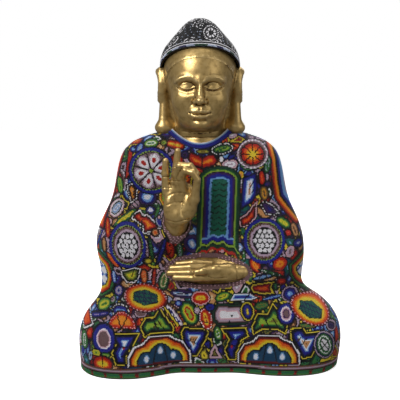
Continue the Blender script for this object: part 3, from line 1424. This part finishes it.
    def hem(self, beads: Beads, names: Sequence[str], codes: Codes) -> None:
        """A green band with clusters of red, under a mauve one with a pale line."""
        z = beads.place[:, 2]
        lower = beads.owner == names.index("hem_band_lower_beads")
        upper = beads.owner == names.index("hem_band_upper_beads")
        low_row = np.round((z - 3.5) / (self.pitch * PAINT_SHARE)).astype(int)
        codes[lower] = jar("g")
        codes[lower & (low_row >= 4)] = jar("k")
        codes[lower & (low_row == 2)] = jar("c")
        run = self.even_run(beads)
        cluster = (run + 3) % 27.0 < 5.2
        codes[lower & cluster & (low_row < 4)] = jar("d")
        codes[lower & cluster & (low_row == 1)] = jar("r")
        high_row = np.clip(((z - 11.0) / (self.pitch * PAINT_SHARE)).astype(int), 0, 5)
        codes[upper] = jars("kpmpuk")[high_row[upper]]
        codes[upper & (run % 9.0 < 1.9) & (high_row == 3)] = jar("x")
        codes[upper & (run % 27.0 < 1.9) & (high_row == 3)] = jar("r")

    def even_run(self, beads: Beads) -> np.ndarray:
        """Where each bead is along its row, in millimetres of a row of the hem's length."""
        longest = np.zeros(beads.row.max() + 1)
        np.maximum.at(longest, beads.row, beads.along)
        return beads.along / np.maximum(longest[beads.row], 1.0) * self.hem_length

    def cuffs(self, beads: Beads, names: Sequence[str], codes: Codes) -> None:
        """Mauve with pale dots round the wrist and the hand in the lap, and a black edge at the wrist."""
        low, way = np.array(self.wrist_low), np.array(self.wrist_way)
        way /= np.linalg.norm(way)
        gap = beads.place - low
        off = np.linalg.norm(gap - (gap @ way)[:, None] * way, axis=1)
        wrist = (beads.owner == names.index("wrist_cuff_beads")) & (off < self.cuff_black)
        lap = beads.owner == names.index("lap_cuff_beads")
        codes[wrist & (off > self.cuff_mauve)] = jar("k")
        mauve = (wrist & (off <= self.cuff_mauve)) | lap
        codes[mauve] = jar("p")
        codes[mauve & (beads.along % 6.3 < 2.0) & (beads.row % 2 == 0)] = jar("q")


@dataclass
class HairBeadwork:
    """The beads on the hair: dashed bands round the brim, and white scrolls on black to the crown."""

    box: BeadBox
    pitch: float = 2.1
    band_rows: int = 7
    scroll_spacing: float = 27.0
    scroll_room: float = 15.5              # the black ground of a scroll
    scroll_radius: float = 14.0
    scroll_turn: float = 6.4               # how far out a scroll runs in one turn
    flower: tuple[float, float] = (19.0, 574.0)
    dash_repeat: float = 28.7
    dash_length: float = 13.0

    def build(self) -> list[bpy.types.Object]:
        """Lays, paints and sets the beads of the hair.

        Returns:
            The finished pieces.
        """
        names = ("hair_beadwork", "hair_brim_bands")
        net = HairField(Skin(names), levels=200, ways=360, far=150.0, pitch=self.pitch)
        net.sample()
        beads = net.lay(net.low + 1.3)
        codes = self.colours(beads)
        band = beads.row < self.band_rows
        pieces = []
        for name, mine in (("hair_brim_seed_beads", band), ("hair_scroll_seed_beads", ~band)):
            node = "hair_brim_bands" if name.startswith("hair_brim") else "hair_beadwork"
            some = beads.kept(mine)
            piece = self.box.set_in_place(name, some.place, some.normal, codes[mine])
            pieces.append(rides(piece, node, node))
        return pieces

    def colours(self, beads: Beads) -> Codes:
        """White spirals between dotted ground, a round flower in front and dashes on the brim."""
        rng = np.random.default_rng(5)
        codes = np.full(len(beads.place), jar("k"), np.int32)
        codes[((beads.along % 10.5) < 2.1) & (beads.row % 4 == 0)] = jar("s")
        chosen: list[int] = []
        for k in rng.permutation(len(beads.place)):
            if all(np.linalg.norm(beads.place[k] - beads.place[o]) > self.scroll_spacing for o in chosen):
                chosen.append(k)
        for k in chosen:
            middle, normal = beads.place[k], beads.normal[k]
            side = np.cross(normal, [0.0, 0.1, 1.0])
            side /= np.linalg.norm(side)
            up = np.cross(side, normal)
            gap = beads.place - middle
            far, turn = np.linalg.norm(gap, axis=1), np.arctan2(gap @ up, gap @ side)
            hand = 1 if k % 2 else -1
            arm = (far / self.scroll_turn - hand * turn / (2 * math.pi)) % 1.0
            codes[far < self.scroll_room] = jar("k")
            dotted = (beads.along + 2.0 * beads.row) % 11.0 < 7.5
            codes[(far < self.scroll_radius) & (arm < 0.30) & dotted] = jar("w")
        across, up = beads.place[:, 0] - self.flower[0], beads.place[:, 2] - self.flower[1]
        front = np.hypot(across, up)
        face_on = beads.place[:, 1] < 0
        turn = np.arctan2(up, across)
        codes[face_on & (front < 15)] = jar("k")
        codes[face_on & (front > 11.5) & (front < 13.5) & ((turn * 3.5) % 1.0 < 0.6)] = jar("w")
        codes[face_on & (front < 8.5)] = jar("w")
        codes[face_on & (front < 8.5) & (front > 2.5) & ((turn * 8 / (2 * math.pi)) % 1.0 < 0.36)] = jar("k")
        codes[face_on & (front < 4.5)] = jar("k")
        for row, letter in enumerate(jars("ksswkkw")):
            codes[beads.row == row] = letter
        dashed = ((beads.row == 1) | (beads.row == 2)) & (beads.along % self.dash_repeat < self.dash_length)
        codes[dashed] = jar("n")
        codes[dashed & ((beads.along // self.dash_repeat) % 2 < 1)] = jar("e")
        return codes


# ---------------------------------------------------------------- castings
@dataclass(frozen=True)
class Lump:
    """A mass of clay: an egg, fuller for a higher power, that melts into what it is pressed on."""

    middle: tuple[float, float, float]
    radii: tuple[float, float, float]
    melt: float = 6.0
    power: float = 2.0
    hollow: bool = False

    def distance(self, p: Points) -> np.ndarray:
        """Rough signed distance of points from the egg, in millimetres."""
        q = np.maximum(np.abs(p - np.array(self.middle)) / np.array(self.radii), 1e-4)
        near = (q ** self.power).sum(1) ** (1 / self.power)
        pull = q ** (self.power - 1) * (near ** (1 - self.power))[:, None] / np.array(self.radii)
        slope = np.linalg.norm(pull, axis=1)
        return (near - 1) / np.maximum(slope, 1e-4)

    def rough(self) -> None:
        """Adds a ball of this size for the rough shape."""
        if self.hollow:
            return
        spot = (np.array(self.middle) + AXIS) * MM
        bpy.ops.mesh.primitive_uv_sphere_add(segments=32, ring_count=20, radius=1.0, location=spot,
                                             scale=[r * MM for r in self.radii])


@dataclass(frozen=True)
class Roll:
    """A roll of clay between two places, with a radius at each end."""

    a: tuple[float, float, float]
    radius_a: float
    b: tuple[float, float, float]
    radius_b: float
    melt: float = 2.0
    hollow: bool = False

    def distance(self, p: Points) -> np.ndarray:
        """Rough signed distance of points from the roll, in millimetres."""
        a, way = np.array(self.a), np.array(self.b) - np.array(self.a)
        t = np.clip((p - a) @ way / (way @ way), 0, 1)
        radius = self.radius_a + t * (self.radius_b - self.radius_a)
        return np.linalg.norm(p - a - t[:, None] * way, axis=1) - radius

    def rough(self) -> None:
        """Adds a row of balls along the roll for the rough shape."""
        a, b = np.array(self.a), np.array(self.b)
        count = max(2, int(np.linalg.norm(b - a) / (0.35 * min(self.radius_a, self.radius_b))) + 1)
        for t in np.linspace(0, 1, count):
            spot = (a + t * (b - a) + AXIS) * MM
            radius = (self.radius_a + t * (self.radius_b - self.radius_a)) * MM
            bpy.ops.mesh.primitive_uv_sphere_add(segments=20, ring_count=12, radius=radius, location=spot)


@dataclass(frozen=True)
class Stroke:
    """A line drawn over the clay with a tool, seen along one way. It raises the clay, or presses it in."""

    line: tuple[tuple[float, float], ...]
    width: float
    lift: float
    across: tuple[int, int] = (0, 2)       # the two measures that the line is drawn in
    deep: int = 1                          # the measure that it is drawn along
    near: float = -24.0                    # the stroke fades out over the last millimetres before this
    side: int = -1

    def height(self, p: Points) -> np.ndarray:
        """How far the stroke lifts the clay at each point, in millimetres."""
        u, v = p[:, self.across[0]], p[:, self.across[1]]
        best = np.full(len(p), 1e9)
        for (au, av), (bu, bv) in zip(self.line, self.line[1:]):
            eu, ev = bu - au, bv - av
            t = np.clip(((u - au) * eu + (v - av) * ev) / (eu * eu + ev * ev), 0, 1)
            best = np.minimum(best, (u - au - t * eu) ** 2 + (v - av - t * ev) ** 2)
        fade = np.clip((p[:, self.deep] - self.near) * self.side / 8.0, 0, 1)
        return self.lift * np.exp(-best / self.width ** 2) * fade


def mirrored(strokes: Iterable[Stroke]) -> list[Stroke]:
    """Strokes and their mirror images on the other side of the middle line."""
    made = []
    for s in strokes:
        made.append(s)
        if s.across[0] == 0:
            line = tuple((-u, v) for u, v in s.line)
            made.append(Stroke(line, s.width, s.lift, s.across, s.deep, s.near, s.side))
        else:
            made.append(Stroke(s.line, s.width, s.lift, s.across, s.deep, -s.near, -s.side))
    return made


def twins(masses: Iterable[Lump | Roll]) -> list[Lump | Roll]:
    """Masses and their mirror images on the other side of the middle line."""
    made = []
    for m in masses:
        made.append(m)
        if isinstance(m, Lump):
            x, y, z = m.middle
            made.append(Lump((-x, y, z), m.radii, m.melt, m.power, m.hollow))
        else:
            (ax, ay, az), (bx, by, bz) = m.a, m.b
            made.append(Roll((-ax, ay, az), m.radius_a, (-bx, by, bz), m.radius_b, m.melt, m.hollow))
    return made


def finger(joints: Sequence[tuple[float, float, float, float]], melt: float = 2.0) -> list[Roll]:
    """A finger as rolls between its joints, each given as a place and a radius."""
    return [Roll(a[:3], a[3], b[:3], b[3], melt) for a, b in zip(joints, joints[1:])]


@dataclass
class Sculpture:
    """A piece modelled in clay: a rough shape of balls, drawn onto a finer form and then tooled."""

    name: str
    node: str
    masses: Sequence[Lump | Roll]
    strokes: Sequence[Stroke] = ()
    voxel: float = 1.2
    floor: float = -1e9                    # the form is cut off flat below this height
    rounds: int = 5

    def distance(self, p: Points) -> np.ndarray:
        """Signed distance of points from the finished form, in millimetres."""
        d = None
        for m in self.masses:
            new = m.distance(p)
            if d is None:
                d = new
            elif m.hollow:
                gap = np.maximum(m.melt - np.abs(d + new), 0) / m.melt
                d = np.maximum(d, -new) + gap * gap * m.melt * 0.25
            else:
                gap = np.maximum(m.melt - np.abs(d - new), 0) / m.melt
                d = np.minimum(d, new) - gap * gap * m.melt * 0.25
        for s in self.strokes:
            d = d - s.height(p)
        return np.maximum(d, self.floor - p[:, 2])

    def build(self) -> bpy.types.Object:
        """Models the piece and dresses it in gold.

        Returns:
            The finished piece.
        """
        piece = self.rough_out()
        remesh = piece.modifiers.new("melt", "REMESH")
        remesh.mode = "VOXEL"
        remesh.voxel_size = self.voxel * MM * 1.0
        apply_all(piece)
        for k in range(self.rounds):
            if k < self.rounds - 2:
                smooth = piece.modifiers.new("even", "SMOOTH")
                smooth.iterations = 2
                apply_all(piece)
            self.draw_on(piece)
        take(piece)
        bpy.ops.object.shade_smooth()
        dress(piece, GoldPaint())
        return rides(piece, "gold_paint", self.node)

    def rough_out(self) -> bpy.types.Object:
        """Adds a ball or a row of them for each mass and joins them."""
        let_go()
        before = set(bpy.data.objects)
        for m in self.masses:
            m.rough()
        added = [o for o in bpy.data.objects if o not in before]
        take(added[0])
        for o in added:
            o.select_set(True)
        bpy.ops.object.join()
        piece = bpy.context.object
        bpy.ops.object.transform_apply(location=True, rotation=True, scale=True)
        piece.name = self.name
        return piece

    def draw_on(self, piece: bpy.types.Object) -> None:
        """Moves the vertices along the form's slope until they lie on it."""
        p = vertices_of(piece) / MM - AXIS
        for _ in range(2):
            d = self.distance(p)
            slope = np.stack([(self.distance(p + step) - d) / 0.2 for step in np.eye(3) * 0.2], 1)
            size = np.maximum((slope ** 2).sum(1), 0.25)
            p -= np.clip(d, -3, 3)[:, None] * slope / size[:, None]
        move_vertices(piece, placed(p))


HEAD_MASSES = (
    Lump((0, 8, 518), (62, 72, 60)),
    Lump((0, -20, 478), (50, 52, 66), 30.0, 2.2),
    Lump((0, -34, 436), (34, 30, 26), 24.0),
    Roll((0, 5, 376), 49.6, (0, 10, 436), 38, 16.0),
    Lump((0, -58, 421), (13, 12, 9), 9.0),
    Roll((0, -69, 495), 4.5, (0, -79, 464), 6.0, 9.0),
    Lump((0, -82, 460.5), (7.2, 6.5, 6.2), 5.0),
    Lump((0, -64, 443), (19, 9, 12), 9.0),
    *twins((
        Lump((8.6, -75, 458.5), (4.6, 6.5, 4.6), 4.0),
        Lump((22, -61, 495), (19, 8, 6), 10.0),
        Lump((27, -50, 462), (18, 16, 17), 14.0),
        Lump((21, -75, 484), (15, 9, 7.5), 9.0, 2.0, True),
        Lump((21.5, -55.5, 482.5), (13.5, 12.5, 8.6), 4.0),
        Lump((64, 3, 487), (9, 17, 27), 5.0, 2.6),
        Lump((69, 1, 508), (5, 9, 9), 7.0),
        Roll((62, 3, 468), 9.0, (63, -2, 430), 9.5, 8.0),
        Lump((49, 8, 436), (13, 12, 38), 8.0),
        Lump((62, -4, 413), (16.5, 12, 13), 9.0),
    )),
)
EAR = {"across": (1, 2), "deep": 0, "near": 57.0, "side": 1}
HEAD_STROKES = (
    *mirrored((
        # brow, lids and the closed eye
        Stroke(((6, 492), (12, 498.5), (22, 501.5), (33, 499), (42, 491)), 2.2, 1.3),
        Stroke(((9, 486), (14, 490.5), (22, 492), (30, 490), (36, 485)), 1.3, -1.3),
        Stroke(((8.5, 481.5), (14, 478.6), (22, 477.4), (30, 478.8), (36, 482.5)), 1.2, -1.9),
        Stroke(((9.5, 483.6), (15, 480.8), (22, 479.6), (30, 480.9), (35, 484.4)), 1.1, 0.8),
        Stroke(((12, 472.5), (22, 470.5), (32, 473.5)), 2.6, -0.6),
        # the folds beside the nose and mouth
        Stroke(((12, 457), (17, 451), (20, 445)), 2.2, -0.7),
        Stroke(((2.6, 453), (2.6, 446)), 1.2, 0.5),
        Stroke(((18.5, 440.5), (18.6, 440.4)), 2.4, -1.3),
        Stroke(((3.6, 454.6), (6.8, 455.4)), 1.6, -1.6),
        Stroke(((11.5, 463.5), (13.6, 459), (11.5, 454.5)), 1.3, -1.2),
        # the ears: rim, bowl, inner fold and the slit of the lobe
        Stroke(((-11, 474), (-13, 490), (-8, 504), (2, 512), (12, 507), (17, 495), (16, 480), (11, 468),
                (6, 458)), 2.6, 2.4, **EAR),
        Stroke(((1, 482), (2, 490)), 7.0, -3.6, **EAR),
        Stroke(((7, 472), (10, 486), (5, 499)), 2.0, 1.6, **EAR),
        Stroke(((1, 456), (-2, 428)), 2.6, -3.0, **EAR),
    )),
    Stroke(((0, 454), (0, 446.5)), 1.7, -1.1),
    Stroke(((-17, 441), (-10, 438.8), (-4, 438.4), (0, 439.3), (4, 438.4), (10, 438.8), (17, 441)),
           1.2, -2.0),
    Stroke(((-14, 442.6), (-5, 444.4), (0, 443.2), (5, 444.4), (14, 442.6)), 2.5, 1.7),
    Stroke(((-10, 434.4), (0, 433.2), (10, 434.4)), 3.4, 2.1),
    Stroke(((-9, 428), (0, 427.2), (9, 428)), 2.4, -1.1),
    # the cast band along the hair line, and two lines round the neck
    Stroke(((-60, 492), (-54, 510), (-42, 523), (-24, 531), (0, 534), (24, 531), (42, 523), (54, 510),
            (60, 492)), 1.5, 1.5),
    Stroke(((-60, 408), (60, 408)), 1.5, -0.9),
    Stroke(((-60, 398), (60, 398)), 1.5, -0.9),
)

RAISED_HAND = (
    Lump((-32, -94, 297), (25, 10.5, 31), 3.0, 3.0),
    Roll((-46, -66, 232), 20.0, (-37, -92, 272), 19.5, 14.0),
    Lump((-17, -101, 288), (11, 9, 18), 8.0),
    Lump((-50, -99, 288), (9, 8, 20), 8.0),
    *finger(((-53, -95, 306, 7.8), (-56, -95, 318, 7.0), (-57.5, -96, 342, 6.1),
              (-56.5, -98, 364, 4.9)), 2.0),
    *finger(((-43, -95, 308, 8.2), (-42, -95, 330, 7.3), (-39, -95, 353, 6.5), (-36.5, -97, 380, 5.1)), 2.0),
    *finger(((-34, -96, 312, 7.8), (-38, -103, 342, 7.0),
              (-33, -112, 357, 6.4), (-16, -117, 357, 5.8), (-6, -119, 346, 5.2)), 2.0),
    *finger(((-25, -97, 312, 7.6), (-31, -107, 338, 6.6),
              (-24, -118, 350, 6.0), (-12, -122, 347, 5.6), (-4, -122, 336, 5.2)), 2.0),
    *finger(((-18, -101, 280, 9.0), (-9, -109, 302, 7.8), (-5, -118, 330, 5.8)), 5.0),
)
RAISED_STROKES = (
    Stroke(((-55, 304), (-44, 311), (-30, 313), (-16, 309)), 2.0, -0.6, near=-84.0),
    Stroke(((-54, 292), (-42, 297), (-28, 296)), 1.8, -0.5, near=-84.0),
    Stroke(((-24, 308), (-31, 294), (-29, 276), (-24, 268)), 2.0, -0.8, near=-84.0),
    Stroke(((-60, 268), (-40, 264), (-18, 269)), 1.4, -0.8, near=-74.0),
    *(Stroke(((x - 9, z), (x + 9, z)), 1.0, -0.6, near=-84.0)
      for x, z in ((-56, 320), (-57, 338), (-42, 332), (-39, 354))),
)
LAP_HAND = (
    Lump((33, -88, 175), (37, 17, 14.5), 2.0, 2.6),
    *finger(((18, -79, 186, 7.4), (-12, -79, 189, 6.8), (-38, -78, 187, 5.4)), 0.9),
    *finger(((18, -86, 182, 7.4), (-16, -86, 183, 6.8), (-48, -83, 181, 5.4)), 0.9),
    *finger(((18, -92, 175, 7.4), (-17, -92, 175, 6.8), (-52, -88, 174, 5.4)), 0.9),
    *finger(((18, -95, 168, 7.0), (-12, -96, 167, 6.2), (-42, -92, 167, 5.2)), 0.9),
    *finger(((48, -93, 182, 9.5), (26, -99, 183, 8.0), (4, -102, 180, 6.4), (-6, -101, 178, 5.4)), 3.0),
    *finger(((46, -89, 175, 14.0), (72, -86, 175, 12.5)), 6.0),
)
LAP_STROKES = (
    Stroke(((44, 170), (24, 168), (14, 171)), 1.6, -0.9, near=-84.0),
    Stroke(((60, 186), (62, 164)), 1.6, -0.7, near=-84.0),
)


@dataclass
class Castings:
    """The gold castings that show: the head, both hands and the robe's rim."""

    sculptures: Sequence[Sculpture] = (
        Sculpture("head_in_gold", "head_casting", HEAD_MASSES, HEAD_STROKES, 1.15, 371.0),
        Sculpture("raised_hand_in_gold", "right_hand_casting", RAISED_HAND, RAISED_STROKES, 0.8),
        Sculpture("lap_hand_in_gold", "left_hand_casting", LAP_HAND, LAP_STROKES, 0.8),
    )

    def build(self) -> None:
        """Models the head and hands over their CAD castings and dresses the robe's."""
        for sculpture in self.sculptures:
            sculpture.build()
        dress(frame["nodes"]["robe_casting"], GoldPaint())


@dataclass
class Base:
    """The board, its screws and the felt, and the wax and dowel that hold the rest together."""

    finishes: dict[str, Finish] = field(default_factory=lambda: {
        "base_felt": WoolFelt(), "base_board": WoodGrain(), "base_screws": ZincSteel(),
        "wrist_dowel": WoodGrain(), "robe_wax": BedWax(), "hair_wax": BedWax()})

    def build(self) -> None:
        """Dresses each CAD node that stays."""
        for node, finish in self.finishes.items():
            dress(frame["nodes"][node], finish)
            LOG.info("%s dressed", node)


@dataclass
class Studio:
    """The floor, the paper behind it, the lights and the camera."""

    aim_height: float = 285.0
    eye_height: float = 500.0
    distance: float = 1500.0
    lens: float = 77.3
    lamps: tuple[tuple[str, tuple[float, float, float], float, float], ...] = (    # name, place, watts, size
        ("key", (-1.3, -1.7, 1.9), 50, 1.1),
        ("fill", (1.7, -1.5, 1.1), 8, 1.6),
        ("top", (0.1, 0.3, 2.2), 20, 1.4),
        ("behind", (0.6, 1.8, 1.4), 14, 1.4),
    )
    sky: float = 0.22

    def build(self) -> None:
        """Sets the figure on a pale floor in soft light."""
        bpy.context.scene.view_settings.view_transform = "Standard"
        self.floor()
        self.paper()
        self.lights()
        self.camera()

    def floor(self) -> None:
        """A plain pale floor that glows, and that neither lights the figure nor shows in its gold."""
        let_go()
        bpy.ops.mesh.primitive_plane_add(size=14.0, location=(0, 0, CAD_BOX[0].z))
        floor = bpy.context.object
        floor.name = "studio_floor"
        material = bpy.data.materials.new("studio_paper")
        material.use_nodes = True
        shader = material.node_tree.nodes["Principled BSDF"]
        shader.inputs["Base Color"].default_value = (0.93, 0.93, 0.93, 1)
        shader.inputs["Roughness"].default_value = 0.9
        shader.inputs["Emission Color"].default_value = (1, 1, 1, 1)
        shader.inputs["Emission Strength"].default_value = 0.8
        floor.data.materials.append(material)
        floor.visible_diffuse = False
        floor.visible_glossy = False

    def paper(self) -> None:
        """A white paper round the floor, which is seen but lights nothing."""
        let_go()
        bpy.ops.mesh.primitive_uv_sphere_add(segments=48, ring_count=24, radius=6.8, location=(0, 0, 0))
        paper = bpy.context.object
        paper.name = "studio_backdrop"
        material = bpy.data.materials.new("backdrop_white")
        material.use_nodes = True
        shader = material.node_tree.nodes["Principled BSDF"]
        shader.inputs["Base Color"].default_value = (0, 0, 0, 1)
        shader.inputs["Specular IOR Level"].default_value = 0.0
        shader.inputs["Emission Color"].default_value = (1, 1, 1, 1)
        shader.inputs["Emission Strength"].default_value = 1.0
        paper.data.materials.append(material)
        paper.visible_diffuse = False
        paper.visible_glossy = False
        paper.visible_transmission = False
        paper.visible_shadow = False

    def lights(self) -> None:
        """A large soft key from the upper left, a fill, a rim behind and an even sky."""
        for name, place, power, size in self.lamps:
            data = bpy.data.lights.new(name, "AREA")
            data.energy = power
            data.size = size
            lamp = bpy.data.objects.new(name, data)
            lamp.location = place
            lamp.rotation_euler = (Vector((0, 0, 0.28)) - Vector(place)).to_track_quat("-Z", "Y").to_euler()
            bpy.context.scene.collection.objects.link(lamp)
        world = bpy.data.worlds.new("studio")
        world.use_nodes = True
        background = world.node_tree.nodes["Background"]
        background.inputs["Color"].default_value = (1, 1, 1, 1)
        background.inputs["Strength"].default_value = self.sky
        bpy.context.scene.world = world

    def camera(self) -> None:
        """A long lens a little above the figure."""
        data = bpy.data.cameras.new("camera")
        data.lens = self.lens
        data.sensor_width = 36.0
        data.clip_end = 60.0
        data.dof.use_dof = False
        camera = bpy.data.objects.new("camera", data)
        eye = Vector((AXIS[0], AXIS[1] - self.distance, self.eye_height)) * MM
        aim = Vector((AXIS[0], AXIS[1], self.aim_height)) * MM
        camera.location = eye
        camera.rotation_euler = (aim - eye).to_track_quat("-Z", "Y").to_euler()
        bpy.context.scene.collection.objects.link(camera)
        bpy.context.scene.camera = camera


def main() -> None:
    """Builds the figure's sub-assemblies in order."""
    logging.basicConfig(level=logging.INFO, format="%(relativeCreated)d %(message)s")
    pitch = 2.1 * 1.0
    box = BeadBox(pitch)
    RobeBeadwork(box, pitch).build()
    HairBeadwork(box, pitch).build()
    box.put_away()
    Castings().build()
    Base().build()
    Studio().build()


if __name__ == "__main__":
    main()
